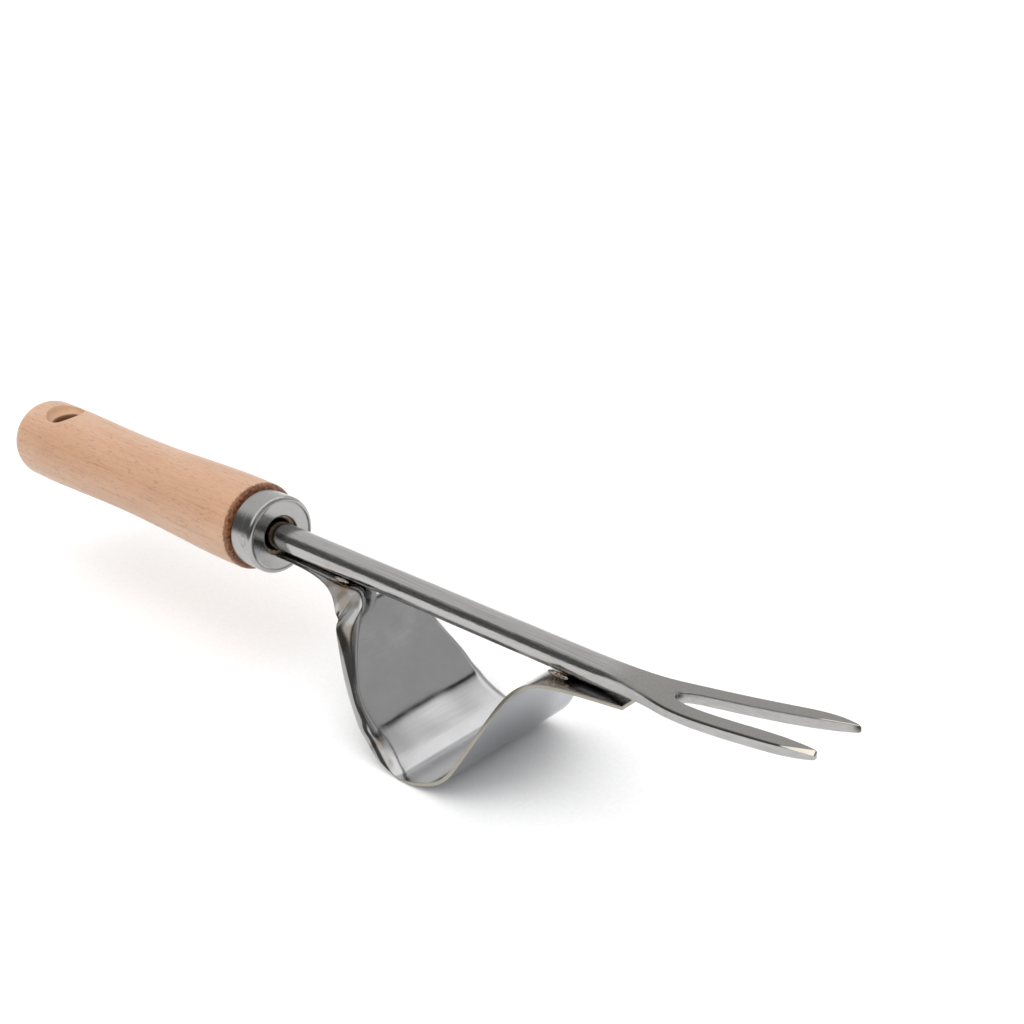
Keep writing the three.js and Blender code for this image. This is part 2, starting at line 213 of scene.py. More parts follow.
def blend_stations(stations, along):
    """Clamped cubic B-spline over rows of numbers, at every value of along from 0 to 1."""
    rows = np.asarray(stations, float)
    padded = np.vstack([rows[:1], rows[:1], rows, rows[-1:], rows[-1:]])
    place = np.asarray(along, float) * (len(padded) - 3)
    start = np.minimum(place.astype(int), len(padded) - 4)
    u = (place - start)[:, None]
    weights = ((1 - u) ** 3, 3 * u**3 - 6 * u**2 + 4, -3 * u**3 + 3 * u**2 + 3 * u + 1, u**3)
    return sum(weight * padded[start + i] for i, weight in enumerate(weights)) / 6


def arc(x, radius, size, start, end, steps):
    """Points (x, radius) along an arc in a turned outline, with angles in degrees."""
    angles = np.radians(np.linspace(start, end, steps + 1))
    return [(x + size * math.cos(a), radius + size * math.sin(a)) for a in angles]


def grid_faces(rows, columns, closed=False, first=0):
    """Quads over a grid of points; closed joins the last column to the first."""
    span = columns if closed else columns - 1
    return [
        (first + r * columns + c, first + (r + 1) * columns + c,
         first + (r + 1) * columns + (c + 1) % columns, first + r * columns + (c + 1) % columns)
        for r in range(rows - 1) for c in range(span)
    ]


def end_faces(rows, columns):
    """The two faces that close the first and last rows of a closed grid of points."""
    return [tuple(range(columns)), tuple(range(rows * columns - 1, (rows - 1) * columns - 1, -1))]


def make_mesh(name, points, faces, cut_edge=None):
    """A smooth mesh object in the row frame, with doubled points merged and faces turned out. The
    values of cut_edge, one for each face, tell its material where the sheet's cut edge is."""
    mesh = bpy.data.meshes.new(name)
    mesh.from_pydata([tuple(p) for p in to_frame(points)], [], faces)
    if cut_edge is not None:
        mesh.attributes.new("cut_edge", "FLOAT", "FACE").data.foreach_set("value", cut_edge)
    work = bmesh.new()
    work.from_mesh(mesh)
    bmesh.ops.remove_doubles(work, verts=work.verts, dist=2e-6)
    bmesh.ops.dissolve_degenerate(work, edges=work.edges, dist=1e-6)
    bmesh.ops.recalc_face_normals(work, faces=work.faces)
    work.to_mesh(mesh)
    work.free()
    mesh.shade_smooth()
    piece = bpy.data.objects.new(name, mesh)
    bpy.context.scene.collection.objects.link(piece)
    return piece


def finish_piece(piece, node, material):
    """Gives a piece its material and sharp edges, parents it to the root body and hides its CAD
    node.
    """
    piece.data.materials.append(material)
    piece.data.set_sharp_from_angle(angle=math.radians(SHARP_ANGLE))
    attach(piece, "root")
    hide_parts(node)
    return piece


def turned_points(outline, segments):
    """Rings about the x axis for an outline of (x, radius) points."""
    turns = np.linspace(0, 2 * math.pi, segments, endpoint=False)
    x, radius = np.array(outline, float).T
    return np.stack([
        np.repeat(x[:, None], segments, 1),
        radius[:, None] * np.sin(turns),
        radius[:, None] * np.cos(turns),
    ], -1)


def apply_modifiers(piece):
    """Bakes the modifiers of a piece into its mesh."""
    bpy.context.view_layer.update()
    seen = piece.evaluated_get(bpy.context.evaluated_depsgraph_get())
    baked = bpy.data.meshes.new_from_object(seen)
    piece.modifiers.clear()
    piece.data = baked


def cut_with(piece, cutter):
    """Cuts one mesh object out of another and removes the cutter."""
    cut = piece.modifiers.new("cut", "BOOLEAN")
    cut.operation = "DIFFERENCE"
    cut.solver = "EXACT"
    cut.object = cutter
    apply_modifiers(piece)
    bpy.data.objects.remove(cutter)


def ripple(values, seed, waves):
    """Smooth repeatable unevenness: a few sines with seeded phases, between about -1 and 1."""
    random = np.random.default_rng(seed)
    total = np.zeros_like(values)
    for rate in waves:
        total += np.sin(values * rate + random.uniform(0, 2 * math.pi)) / len(waves)
    return total


# ---------------------------------------------------------------- pieces

def hanging_hole_cutter():
    """Straight bore with a dished mouth on each side, its rim eased over."""
    # how far each ring is outside the bore, and its height over the barrel
    rim = [(0, -3.6), (0.15, -3.1), (0.7, -2.6), (1.4, -1.9), (1.75, -1.2), (2.0, -0.6),
           (2.2, -0.2), (2.5, 0.1), (3.0, 0.3), (3.8, 4.0)]
    mouth = [(HOLE_RADIUS + beyond, BARREL_AT_HOLE + height) for beyond, height in rim]
    outline = [(radius, -height) for radius, height in reversed(mouth)] + mouth
    segments = 96
    turns = np.linspace(0, 2 * math.pi, segments, endpoint=False)
    rings = np.array([[(HOLE_X + r * math.cos(t), r * math.sin(t), z) for t in turns]
                      for r, z in outline])
    faces = grid_faces(len(outline), segments, closed=True)
    faces += end_faces(len(outline), segments)
    return make_mesh("hole_cutter", rings.reshape(-1, 3), faces)


def make_handle():
    """The turned beech handle: butt, barrel, shoulder, and the spigot and bore in the ferrule."""
    start_x, start_radius = BARREL[0]
    reach = start_x - BUTT
    flat_radius = start_radius - BUTT_ROUNDING
    butt_face = [(BUTT, r) for r in np.linspace(AXIS_RADIUS, flat_radius, 5)[:-1]]
    butt = [(start_x - reach * math.cos(a), flat_radius + BUTT_ROUNDING * math.sin(a))
            for a in np.radians(np.linspace(0, 90, 26)[:-1])]
    barrel = [(x, r - BARREL_EASE) for x, r in blend_stations(BARREL, np.linspace(0, 1, 150))]
    end_radius = BARREL[-1][1]
    outline = [
        *butt_face, *butt, *barrel,
        *arc(SHOULDER - SHOULDER_ROUNDING, end_radius - SHOULDER_ROUNDING, SHOULDER_ROUNDING,
             90, 0, 10),
        (SHOULDER, SPIGOT_RADIUS), (SPIGOT_FRONT, SPIGOT_RADIUS), (SPIGOT_FRONT, BORE_RADIUS),
        (BORE_END, BORE_RADIUS), (BORE_END - 1, AXIS_RADIUS),
    ]
    segments = 192
    rings = turned_points(outline, segments)
    faces = grid_faces(len(outline), segments, closed=True)
    piece = make_mesh("handle_turned", rings.reshape(-1, 3), faces)
    cut_with(piece, hanging_hole_cutter())
    return finish_piece(piece, "handle", beech_material())


def ferrule_outline():
    """The spun cap: rear lip, tube, rounded rim, the flat front inside it and the hole's edge."""
    inner = FERRULE_RADIUS - FERRULE_WALL
    inside = FERRULE_FLAT - FERRULE_WALL
    rim_radius = FERRULE_RADIUS - FERRULE_RIM
    lip, fillet, hole_rounding, bend = 0.3, 0.4, 0.35, 0.6
    tube_end = -FERRULE_RIM - 0.1
    tube = [(x, FERRULE_RADIUS) for x in np.arange(FERRULE_REAR + 0.5, tube_end, 0.2)]
    front = [(FERRULE_FLAT, r) for r in np.linspace(rim_radius - 0.5, FERRULE_HOLE + 0.4, 12)]
    return [
        (FERRULE_REAR + 0.1, inner), (FERRULE_REAR, inner + 0.1),
        *arc(FERRULE_REAR + lip, FERRULE_RADIUS - lip, lip, 180, 90, 6),
        *tube,
        *arc(-FERRULE_RIM, rim_radius, FERRULE_RIM, 90, 8, 14),
        *arc(FERRULE_FLAT + fillet, rim_radius - 0.35, fillet, 155, 180, 4),
        *front,
        *arc(FERRULE_FLAT - hole_rounding, FERRULE_HOLE + hole_rounding, hole_rounding, 0, -90, 6),
        (inside, FERRULE_HOLE), (inside, inner - bend), (inside - bend, inner),
        (FERRULE_REAR + 0.1, inner),
    ]


def press_dimples(rings):
    """Sinks a round dimple with a faintly raised lip into each side of the ferrule's tube."""
    lip_place, lip_width = 1.15, 0.18
    for side in (-1, 1):
        turn = np.arctan2(rings[..., 1], rings[..., 2]) - side * DIMPLE_ANGLE
        round_tube = turn * FERRULE_RADIUS / DIMPLE_STRETCH
        away = np.hypot(rings[..., 0] - DIMPLE_X, round_tube) / DIMPLE_RADIUS
        on_tube = np.hypot(rings[..., 1], rings[..., 2]) > FERRULE_RADIUS - 0.6
        sink = DIMPLE_DEPTH * np.clip(1 - away**2, 0, 1) * on_tube
        lip = DIMPLE_LIP * np.exp(-((away - lip_place) / lip_width) ** 2) * on_tube
        rings[..., 1:] *= (1 - (sink - lip) / FERRULE_RADIUS)[..., None]


def make_ferrule():
    outline = ferrule_outline()
    segments = 288
    rings = turned_points(outline, segments)
    press_dimples(rings)
    piece = make_mesh("ferrule_spun", rings.reshape(-1, 3),
                      grid_faces(len(outline), segments, closed=True))
    return finish_piece(piece, "ferrule", ferrule_material())


def make_resin():
    """The collar of set adhesive that shows as an uneven dark ring round the tang."""
    inner = TANG_RADIUS + RESIN_GAP
    outer = BORE_RADIUS - RESIN_GAP
    outline = [
        (RESIN_REAR, inner), (RESIN_REAR, outer),
        (RESIN_FRONT - 0.6, outer), (RESIN_FRONT - 0.2, outer - 0.15),
        (RESIN_FRONT, outer - 0.65), (RESIN_FRONT, inner + 0.25),
        (RESIN_FRONT - 0.3, inner), (RESIN_REAR, inner),
    ]
    front_rows = slice(3, 6)
    segments = 96
    rings = turned_points(outline, segments)
    turn = np.linspace(0, 2 * math.pi, segments, endpoint=False)
    rings[front_rows, :, 0] += RESIN_RIPPLE * ripple(turn, 5, (3, 5, 8))
    piece = make_mesh("resin_collar", rings.reshape(-1, 3),
                      grid_faces(len(outline), segments, closed=True))
    return finish_piece(piece, "tang_resin", resin_material())


BAR_TABLE = blend_stations(BAR_STATIONS, np.linspace(0, 1, 400))
SLOT_X, SLOT_Y = np.array(SLOT, float).T
SLOT_FINE = np.linspace(0, SLOT_X[-1], 900)
SLOT_LINE = np.stack([SLOT_FINE + CROTCH, np.interp(SLOT_FINE, SLOT_X, SLOT_Y)], 1)


def bar_sizes(x, side):
    """Half of the bar at x: height of its middle, half width, half height, corner radius and the
    half gap of the slot, all drawn in where the tine's end is rounded over."""
    middle, half_width, half_height, corner = (
        np.interp(x, BAR_TABLE[:, 0], BAR_TABLE[:, k]) for k in range(1, 5))
    slot = np.interp(x - CROTCH, SLOT_X, SLOT_Y) if x > CROTCH else 0.0
    beyond = (x - (TINE_ENDS[side] - TINE_END_ROUNDING)) / TINE_END_ROUNDING
    shrink = 1 - math.sqrt(1 - min(max(beyond, 0), 1) ** 2)
    squeeze = TINE_END_NARROWING * shrink * (half_width - slot)
    half_width -= squeeze
    slot += squeeze
    half_height *= 1 - TINE_END_THINNING * shrink
    widest = 0.45 * (half_width - slot) if slot > 0 else half_width - 1e-3
    return middle, half_width, half_height, min(corner, widest, half_height - 1e-3), slot


def rounded_half(half_width, half_height, corner, slot):
    """Evenly spaced y and z of half a rounded bar, from the slot's edge over the top, round the
    side and back underneath."""
    angles = np.radians(np.linspace(90, -90, 61))
    y = half_width - corner + corner * np.cos(angles)
    z = np.sign(angles) * (half_height - corner) + corner * np.sin(angles)
    outline = np.vstack([[(slot, half_height)], np.stack([y, z], 1), [(slot, -half_height)]])
    step = np.r_[0, np.cumsum(np.hypot(*np.diff(outline, axis=0).T))]
    even = np.linspace(0, step[-1], SECTION_POINTS)
    return np.interp(even, step, outline[:, 0]), np.interp(even, step, outline[:, 1])


def ease_slot_edges(x, y, z):
    """Heights of the points, drawn in near the slot's outline so that its edges are rounded."""
    away = np.min(np.hypot(x - SLOT_LINE[:, :1], y - SLOT_LINE[:, 1:]), 0)
    inside = np.clip(EDGE_ROUNDING - away, 0, EDGE_ROUNDING)
    ease = EDGE_ROUNDING - np.sqrt(np.maximum(EDGE_ROUNDING**2 - inside**2, 0))
    return z - np.sign(z) * np.minimum(ease, 0.8 * np.abs(z))


def grind_tip(x, side, y, z, corner_point):
    """Cuts a flat along the outer top edge, which gets deeper towards the tip."""
    last = BAR_STATIONS[-1][0]
    depth = TIP_GRIND_DEPTH[side] * (x - TIP_GRIND_START) / (last - TIP_GRIND_START)
    if depth <= 0:
        return y, z
    across, up = TIP_GRIND_DIRECTION
    limit = TIP_GRIND_DIRECTION @ corner_point - depth - TIP_GRIND_ALLOWANCE
    over = np.maximum(0, y * across + z * up - limit)
    return y - over * across, z - over * up


def half_section(x, side):
    """Points of one half of the bar at x, from the slot's edge over the top and round to the
    slot's edge underneath."""
    middle, half_width, half_height, corner, slot = bar_sizes(x, side)
    y, z = rounded_half(half_width, half_height, corner, slot)
    z = ease_slot_edges(x, y, z)
    y, z = grind_tip(x, side, y, z, (half_width, half_height))
    return np.stack([np.full(SECTION_POINTS, x), side * y, z + middle], 1)


def blade_places(end):
    """Places along the blade where its sections are taken, closer together at the crotch and where
    the tine's end is rounded over."""
    before, after = CROTCH - 0.6, CROTCH + 3
    tine = end - TINE_END_ROUNDING
    return np.r_[
        np.linspace(BLADE_START, before, 80)[:-1],
        np.linspace(before, CROTCH, 6)[:-1],
        CROTCH + (after - CROTCH) * np.linspace(0, 1, 14)[:-1] ** 2,
        np.linspace(after, tine, 120)[:-1],
        end - TINE_END_ROUNDING * (1 - np.sin(np.radians(np.linspace(0, 84, 9)))),
    ]


def blade_side(side):
    """Points and faces of one side of the forged blade, with its tine and slot wall."""
    places = blade_places(TINE_ENDS[side])
    sections = [half_section(x, side) for x in places]
    points = list(np.vstack(sections))
    faces = grid_faces(len(places), SECTION_POINTS)
    split = int(np.argmin(np.abs(places - CROTCH)))
    wall_start = len(points)
    for section in sections[split:]:
        points.extend(np.linspace(section[-1], section[0], WALL_POINTS))
    faces += grid_faces(len(places) - split, WALL_POINTS, first=wall_start)
    end = (len(places) - 1) * SECTION_POINTS
    end_wall = wall_start + (len(places) - split - 1) * WALL_POINTS
    faces.append((*range(end, end + SECTION_POINTS),
                  *range(end_wall + 1, end_wall + WALL_POINTS - 1)))
    return points, faces


def make_fork_rod():
    """The round rod with its tang, forged at the front into a flat blade with two tines."""
    round_bar = [(x, ROD_RADIUS) for x in np.linspace(ROD_START + 1, BLADE_START, 60)]
    rod = [(TANG_START, AXIS_RADIUS), (TANG_START, TANG_RADIUS * 0.4),
           (TANG_START + TANG_TAPER, TANG_RADIUS), (TANG_END, TANG_RADIUS),
           (ROD_START, ROD_RADIUS), *round_bar]
    segments = 2 * (SECTION_POINTS - 1)
    points = list(turned_points(rod, segments).reshape(-1, 3))
    faces = grid_faces(len(rod), segments, closed=True)
    for side in (-1, 1):
        side_points, side_faces = blade_side(side)
        faces += [tuple(i + len(points) for i in face) for face in side_faces]
        points += side_points
    piece = make_mesh("rod_forged", points, faces)
    return finish_piece(piece, "fork_rod", rod_material())


def plate_rows(along):
    """Middle surface of the bent sheet at each station: the station's numbers, the direction into
    the face, and for each column how far across and up it lies and the angle of the sheet."""
    step = 1e-3
    here = blend_stations(PLATE_STATIONS, along)
    ahead = blend_stations(PLATE_STATIONS, np.minimum(along + step, 1))
    behind = blend_stations(PLATE_STATIONS, np.maximum(along - step, 0))
    forward = (ahead - behind)[:, :2]
    forward /= np.hypot(*forward.T)[:, None]
    inward = np.stack([-forward[:, 1], forward[:, 0]], 1)
    face, wing, fold_angle, edge_angle = (here[:, k][:, None] for k in (2, 3, 4, 5))
    zero = np.zeros((len(along), 1))
    # width, number of columns, and the sheet's angle at the start and end of each part
    parts = ((face, 16, zero, zero), (FOLD_WIDTH + zero, 12, zero, fold_angle),
             (wing - CUT_ROUNDING, 14, fold_angle, edge_angle))
    lengths, middles, angles = [], [], [zero]
    for width, columns, start, end in parts:
        share = np.arange(1, columns + 1)[None] / columns
        lengths.append(width / columns + 0 * share)
        middles.append(start + (end - start) * (share - 0.5 / columns))
        angles.append(start + (end - start) * share)
    length, middle, angle = np.hstack(lengths), np.hstack(middles), np.hstack(angles)
    across = np.hstack([zero, np.cumsum(np.cos(middle) * length, 1)])
    rise = -np.hstack([zero, np.cumsum(np.sin(middle) * length, 1)])
    mirror = slice(None, 0, -1)
    across = np.hstack([-across[:, mirror], across])
    rise = np.hstack([rise[:, mirror], rise])
    angle = -np.hstack([-angle[:, mirror], angle])
    return here, inward, across, rise, angle


def sheet_rings(along):
    """Closed rings of points round the sheet, one at each station, and the number of columns on
    each of its two faces. Its cut edges are rounded over between the faces."""
    here, inward, across, rise, angle = plate_rows(along)
    ground = (GROUND_Z - AXIS_Z) / MM

    def surface(side, beyond=0.0, columns=slice(None)):
        """Points at a height over the middle surface, moved out past its edge by beyond."""
        a = angle[:, columns]
        outward = np.sign(across[:, columns])
        lift = rise[:, columns] + side * np.cos(a) + beyond * np.sin(a) * outward
        y = across[:, columns] - side * np.sin(a) + beyond * np.cos(a) * outward
        x = here[:, 0][:, None] + lift * inward[:, 0][:, None]
        z = here[:, 1][:, None] + lift * inward[:, 1][:, None]
        return np.stack([x, y, np.maximum(z, ground)], -1)

    half = SHEET / 2
    turns = np.radians((30, 60, 90))
    down = [(half - CUT_ROUNDING * (1 - math.cos(t)), CUT_ROUNDING * math.sin(t)) for t in turns]
    up = down[::-1]
    outer = surface(-half)
    far = [surface(-side, beyond, [-1]) for side, beyond in down]
    far += [surface(side, beyond, [-1]) for side, beyond in up]
    inner = surface(half)[:, ::-1]
    near = [surface(side, beyond, [0]) for side, beyond in down]
    near += [surface(-side, beyond, [0]) for side, beyond in up]
    return np.concatenate([outer, *far, inner, *near], 1), outer.shape[1]


def make_plate():
    """The fulcrum plate, with every face of its cut edge marked for its material."""
    rings, face_columns = sheet_rings(np.linspace(0, 1, PLATE_ROWS))
    rows, columns = rings.shape[:2]
    faces = grid_faces(rows, columns, closed=True)
    strip = np.arange(len(faces)) % columns % (columns // 2)
    cut = strip >= face_columns - 1
    ends = end_faces(rows, columns)
    cut_edge = np.r_[cut, [True] * len(ends)].astype(np.float32)
    piece = make_mesh("plate_bent", rings.reshape(-1, 3), faces + ends, cut_edge)
    return finish_piece(piece, "fulcrum_plate", plate_material())


def make_weld(name, side_name, side):
    """A short bead laid in overlapping ripples."""
    x, across, height, radius, length = WELDS[name]
    half_length = 0.98 * length / 2
    rows, columns = 60, 28
    points = []
    for t in np.linspace(-1, 1, rows):
        swell = math.sqrt(max(0.0, 1 - t**2)) * (1 - 0.14 * abs(math.sin(9 * t + side)))
        for a in np.linspace(0, 2 * math.pi, columns, endpoint=False):
            r = radius * swell * (1 - 0.06 * math.sin(3 * a + 7 * t))
            points.append((x + t * half_length, side * across + r * math.cos(a),
                           height + r * math.sin(a)))
    piece = make_mesh(f"{name}_{side_name}_bead", points, grid_faces(rows, columns, closed=True))
    return finish_piece(piece, f"{name}_{side_name}", weld_material())


# ---------------------------------------------------------------- materials

class Nodes:
    """Short ways to add and join the nodes of a material or a world."""

    def __init__(self, owner, shader="Principled BSDF"):
        owner.use_nodes = True
        self.owner = owner
        self.tree = owner.node_tree
        self.shader = self.tree.nodes[shader]

    def add(self, kind, **settings):
        node = self.tree.nodes.new(kind)
        for key, value in settings.items():
            setattr(node, key, value)
        return node

    def link(self, source, target):
        self.tree.links.new(source, target)

    def place(self, scale=(1, 1, 1)):
        """The point in the row frame, stretched; features get finer as a scale grows."""
        coordinates = self.add("ShaderNodeTexCoord")
        mapping = self.add("ShaderNodeMapping")
        mapping.inputs["Scale"].default_value = scale
        self.link(coordinates.outputs["Object"], mapping.inputs["Vector"])
        return mapping.outputs["Vector"]

    def noise(self, vector, detail=3.0, roughness=0.5):
        node = self.add("ShaderNodeTexNoise")
        node.inputs["Scale"].default_value = 1
        node.inputs["Detail"].default_value = detail
        node.inputs["Roughness"].default_value = roughness
        self.link(vector, node.inputs["Vector"])
        return node.outputs["Fac"]

    def range(self, value, low, high, to_low=0.0, to_high=1.0, smooth=True):
        """Turns low to high into to_low to to_high, held at both ends."""
        node = self.add("ShaderNodeMapRange")
        node.interpolation_type = "SMOOTHSTEP" if smooth else "LINEAR"
        for socket, number in zip(("From Min", "From Max", "To Min", "To Max"),
                                  (low, high, to_low, to_high)):
            node.inputs[socket].default_value = number
        self.link(value, node.inputs["Value"])
        return node.outputs["Result"]

    def math(self, operation, first, second=None):
        """Works with numbers or sockets."""
        node = self.add("ShaderNodeMath", operation=operation)
        for socket, value in zip(node.inputs, (first, second)):
            if value is None:
                continue
            if isinstance(value, (int, float)):
                socket.default_value = value
            else:
                self.link(value, socket)
        return node.outputs["Value"]

    def mix(self, factor, first, second):
        """Mixes two colours, each a tuple or a socket."""
        node = self.add("ShaderNodeMix", data_type="RGBA")
        self.link(factor, node.inputs["Factor"])
        for socket, value in ((node.inputs[6], first), (node.inputs[7], second)):
            if isinstance(value, tuple):
                socket.default_value = (*value, 1)
            else:
                self.link(value, socket)
        return node.outputs[2]

    def multiply(self, *values):
        product = values[0]
        for value in values[1:]:
            product = self.math("MULTIPLY", product, value)
        return product

    def parts(self, vector):
        """The x, y and z of a vector."""
        separate = self.add("ShaderNodeSeparateXYZ")
        self.link(vector, separate.inputs["Vector"])
        return [separate.outputs[axis] for axis in "XYZ"]

    def axes(self):
        """Where the point lies along each axis of the row frame."""
        return self.parts(self.place())

    def facing(self):
        """How far the surface faces along each axis of the row frame, from -1 to 1."""
        return self.parts(self.add("ShaderNodeNewGeometry").outputs["Normal"])

    def from_axis(self):
        """Distance from the rod's axis, in metres."""
        _, y, z = self.axes()
        drop = self.math("SUBTRACT", z, AXIS_Z)
        return self.length(y, drop)

    def length(self, first, second):
        """Square root of the sum of the two values' squares."""
        square = self.math("ADD", self.multiply(first, first), self.multiply(second, second))
        return self.math("SQRT", square)

    def near(self, point, reach):
        """1 at a point in tool coordinates, falling to 0 at reach millimetres away."""
        distance = self.add("ShaderNodeVectorMath", operation="DISTANCE")
        self.link(self.place(), distance.inputs[0])
        distance.inputs[1].default_value = to_frame(point)
        return self.range(distance.outputs["Value"], reach * MM, 0.0)

    def bump(self, height, strength, distance, after=None):
        node = self.add("ShaderNodeBump")
        node.inputs["Strength"].default_value = strength
        node.inputs["Distance"].default_value = distance
        self.link(height, node.inputs["Height"])
        if after is not None:
            self.link(after, node.inputs["Normal"])
        return node.outputs["Normal"]

    def finish(self, colour, roughness=None, normal=None, **values):
        """Joins the sockets to the shader, sets its other inputs, and returns the material."""
        for socket, value in (("Base Color", colour), ("Roughness", roughness),
                              ("Normal", normal)):
            if value is not None:
                self.link(value, self.shader.inputs[socket])
        for name, value in values.items():
            self.shader.inputs[name.replace("_", " ").title()].default_value = value
        return self.owner


def new_material(name):
    return Nodes(bpy.data.materials.new(name))


def frame_x(x):
    """A place along the tool, in metres in the row frame."""
    return FACE_X + x * MM


def beech_material():
    """Pale steamed beech with dark flecks, a burnt ring at the shoulder, painted shadow round the
    tang's bore, and a hanging hole whose bore is darkened by drilling burn and by painted shade.
    """
    n = new_material("beech")
    patches = n.noise(n.place((16, 60, 60)), detail=2)
    streaks = n.noise(n.place((40, 1100, 1100)), detail=4, roughness=0.65)
    flecks = n.noise(n.place((380, 3600, 3600)), detail=2)
    pores = n.noise(n.place((900, 5200, 5200)), detail=2)
    ring = n.noise(n.place((900, 1100, 1100)), detail=4, roughness=0.65)
    x, y, _ = n.axes()

    pale, deep = (0.565, 0.35, 0.228), (0.52, 0.3, 0.182)
    dark_streak, light_streak = (0.385, 0.205, 0.118), (0.63, 0.435, 0.315)
    fleck = (0.24, 0.112, 0.058)
    colour = n.mix(n.range(patches, 0.38, 0.66), pale, deep)
    colour = n.mix(n.range(streaks, 0.48, 0.75, 0, 0.5), colour, dark_streak)
    colour = n.mix(n.range(streaks, 0.45, 0.25, 0, 0.3), colour, light_streak)
    colour = n.mix(n.range(flecks, 0.57, 0.72, 0, 0.65), colour, fleck)

    wobble = 0.0003
    edge = n.math("ADD", x, n.range(ring, 0.3, 0.7, -wobble, wobble))
    burnt = n.range(edge, frame_x(SHOULDER - 0.95), frame_x(SHOULDER - 0.5))
    spigot = n.range(x, frame_x(SHOULDER + 2), frame_x(SHOULDER + 3))
    black, scorched = (0.085, 0.028, 0.012), (0.3, 0.125, 0.055)
    charred = n.mix(n.range(ring, 0.35, 0.65), black, scorched)
    colour = n.mix(n.math("SUBTRACT", burnt, spigot), colour, charred)
    end_grain = (0.5, 0.38, 0.25)
    colour = n.mix(spigot, colour, end_grain)

    # Painted shadow: dark down the tang's bore and in a thin ring round its mouth on the spigot,
    # with a wavering edge.
    wobble = 0.00035
    gap_shadow_edge = n.math("ADD", n.from_axis(), n.range(ring, 0.3, 0.7, -wobble, wobble, smooth=False))
    gap = n.range(gap_shadow_edge, (BORE_RADIUS + 0.4) * MM, (BORE_RADIUS + 0.2) * MM)
    gap_shadow = (0.018, 0.01, 0.006)
    colour = n.mix(n.multiply(gap, spigot), colour, gap_shadow)

    # The hole's mouth gets a sanded tone. Its bore is darkened for drilling burn and as painted
    # shade deep in the hole.
    from_hole = n.length(n.math("SUBTRACT", x, frame_x(HOLE_X)), y)
    mouth = n.range(from_hole, (HOLE_MOUTH_RADIUS + 0.3) * MM, HOLE_MOUTH_RADIUS * MM)
    bore = n.range(from_hole, (HOLE_RADIUS + 0.6) * MM, (HOLE_RADIUS + 0.1) * MM)
    sanded, burnt_and_shaded_bore = (0.58, 0.345, 0.2), (0.16, 0.07, 0.035)
    colour = n.mix(n.multiply(mouth, 0.6), colour, sanded)
    colour = n.mix(bore, colour, burnt_and_shaded_bore)

    roughness = n.range(streaks, 0.3, 0.7, 0.42, 0.56)
    normal = n.bump(streaks, 0.25, 0.00008)
    normal = n.bump(pores, 0.2, 0.00006, normal)
    normal = n.bump(n.multiply(ring, burnt), 0.6, 0.0004, normal)
    return n.finish(colour, roughness, normal, coat_weight=0.25, coat_roughness=0.32)


def ferrule_material():
    """Steel with fine turning lines that run round the tube and the front face."""
    n = new_material("capped_steel")
    x = n.axes()[0]
    lines_per_metre, wander_lines = 5200, 14
    along = n.multiply(n.math("ADD", x, n.from_axis()), lines_per_metre)
    wander = n.multiply(n.noise(n.place((60, 60, 60)), detail=2), wander_lines)
    combine = n.add("ShaderNodeCombineXYZ")
    n.link(along, combine.inputs["X"])
    n.link(wander, combine.inputs["Y"])
    turning = n.noise(combine.outputs["Vector"], detail=4, roughness=0.7)
    smudge = n.noise(n.place((260, 260, 260)), detail=4, roughness=0.6)
    dark, light, dull = (0.36, 0.356, 0.35), (0.43, 0.426, 0.42), (0.3, 0.29, 0.28)
    colour = n.mix(n.range(turning, 0.3, 0.7), dark, light)
    colour = n.mix(n.range(smudge, 0.5, 0.75, 0, 0.3), colour, dull)
    roughness = n.range(n.math("ADD", smudge, turning), 0.7, 1.3, 0.16, 0.28)
    normal = n.bump(turning, 0.16, 0.00003)
    return n.finish(colour, roughness, normal, metallic=1.0)


def heat_marks(n, colour, strength, shift, reaches):
    """Straw-brown heat marks near the weld beads: shift is how far along and up each mark lies
    from its bead, and reaches are the marks' radii, rear welds first."""
    straw_brown = (0.27, 0.17, 0.085)
    for (x, across, height, _, _), reach in zip(WELDS.values(), reaches):
        for side in (-1, 1):
            spot = (x + shift[0], side * across, height + shift[1])
            mark = n.multiply(n.near(spot, reach), strength)
            colour = n.mix(mark, colour, straw_brown)
    return colour


def blade_looks(n, colour, blade, cross):
    """The rod's colour changed on its blade: a dull top with a painted dark reflection along its
    rounded outer edge, and scale left in the crotch and on a tip."""
    x, y, _ = n.axes()
    _, facing_y, facing_z = n.facing()
    dark, light = (0.265, 0.255, 0.243), (0.315, 0.302, 0.288)
    edge_reflection_dark, scale = (0.1, 0.095, 0.09), (0.05, 0.045, 0.042)
    dull = n.mix(n.range(cross, 0.3, 0.7), dark, light)
    colour = n.mix(n.multiply(blade, n.range(facing_z, 0.6, 0.9)), colour, dull)
    # Painted dark reflection along the sloping outer rounding of the blade's top.
    outward = n.range(n.multiply(y, facing_y), 0.0002, 0.001)
    sloping = n.multiply(n.range(facing_z, 0.25, 0.4), n.range(facing_z, 0.95, 0.85))
    flat_blade = n.range(x, frame_x(138), frame_x(145))
    colour = n.mix(n.multiply(sloping, outward, flat_blade), colour, edge_reflection_dark)
    crotch, far_tip = (CROTCH + 0.3, 0.5, 1.8), (193.6, 6.4, 8.3)
    for spot, reach in ((crotch, 1.6), (far_tip, 2.4)):
        colour = n.mix(n.near(spot, reach), colour, scale)
    return colour


def ground_tip(n):
    """1 on the flats ground along the outer top edges of the tips, and 0 elsewhere."""
    x = n.axes()[0]
    _, facing_y, facing_z = n.facing()
    tip = n.range(x, frame_x(TIP_GRIND_START - 1), frame_x(TIP_GRIND_START + 1))
    outside = n.range(n.math("ABSOLUTE", facing_y), 0.45, 0.6)
    return n.multiply(tip, outside, n.range(facing_z, 0.35, 0.5))


